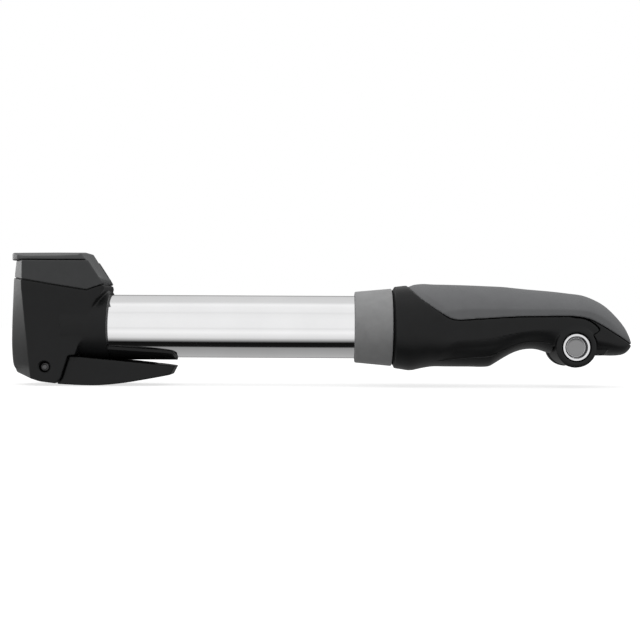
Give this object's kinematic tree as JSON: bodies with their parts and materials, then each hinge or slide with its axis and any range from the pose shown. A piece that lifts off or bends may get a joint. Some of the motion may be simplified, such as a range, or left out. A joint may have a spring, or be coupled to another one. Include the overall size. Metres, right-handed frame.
{
  "type": "mini pump",
  "caption": "Telescopic bicycle hand pump with a clamp-lever valve head under a hinged dust cover, a polished barrel and a grip that folds out into a T handle.",
  "frame": {"origin": "centre of the head's flat end face, on the barrel's axis", "axes": "+X along the barrel from the head to the handle, +Z towards the valve mouth, Y across the head"},
  "size_m": [0.2782, 0.038, 0.0585],
  "materials": {
    "black_plastic": "fine moulded grain, satin",
    "dark_grey_plastic": "moulded, satin",
    "grey_soft_touch": "matte soft touch",
    "grey_satin_plastic": "satin",
    "polished_aluminium": "polished",
    "satin_aluminium": "satin",
    "plated_steel": "bright plated",
    "black_rubber": "matte",
    "nylon": "natural moulded"
  },
  "bodies": {
    "barrel": {"head_body": "black_plastic", "head_cap": "dark_grey_plastic", "lever_pin": "plated_steel", "cover_pin": "plated_steel", "valve_seal": "black_rubber", "barrel_gasket": "black_rubber", "check_valve_disc": "black_rubber", "outer_barrel": "polished_aluminium", "collar": "grey_satin_plastic", "guide_bush": "nylon", "barrel_wiper": "black_rubber"},
    "lever": {"clamp_lever": "black_plastic"},
    "plunger": {"clamp_plunger": "nylon", "plunger_seal": "black_rubber"},
    "cover": {"dust_cover": "grey_soft_touch", "cover_plug": "black_rubber"},
    "inner_stage": {"inner_barrel": "satin_aluminium", "inner_piston": "nylon", "inner_piston_seal": "black_rubber", "inner_cap": "nylon", "rod_bush": "nylon"},
    "piston": {"piston": "nylon", "piston_seal": "black_rubber"},
    "handle": {"piston_rod": "satin_aluminium", "neck_screw": "plated_steel", "handle_neck": "black_plastic", "grip_pin": "plated_steel"},
    "grip": {"grip_frame": "black_plastic", "grip_cover": "grey_soft_touch"}
  },
  "joints": [
    {"name": "lever_swing", "type": "hinge", "parent": "barrel", "child": "lever", "pos_m": [0.018, 0, -0.018], "axis": [0, 1, 0], "range_deg": [0, 90]},
    {"name": "plunger_lift", "type": "slide", "parent": "barrel", "child": "plunger", "axis": [0, 0, 1], "range_m": [0, 0.0018]},
    {"name": "cover_flip", "type": "hinge", "parent": "barrel", "child": "cover", "pos_m": [0.0406, 0, 0.0201], "axis": [0, 1, 0], "range_deg": [0, 110]},
    {"name": "inner_stage_slide", "type": "slide", "parent": "barrel", "child": "inner_stage", "axis": [1, 0, 0], "range_m": [0, 0.105]},
    {"name": "piston_slide", "type": "slide", "parent": "inner_stage", "child": "piston", "axis": [1, 0, 0], "range_m": [0, 0.105]},
    {"name": "handle_turn", "type": "hinge", "parent": "piston", "child": "handle", "pos_m": [0.1, 0, 0], "axis": [1, 0, 0], "continuous": true},
    {"name": "grip_fold", "type": "hinge", "parent": "handle", "child": "grip", "pos_m": [0.2512, 0, -0.0083], "axis": [0, 1, 0], "range_deg": [0, 90]}
  ],
  "couplings": [
    {"joint": "plunger_lift", "follows": "lever_swing", "m_per_rad": 0.00114}
  ]
}
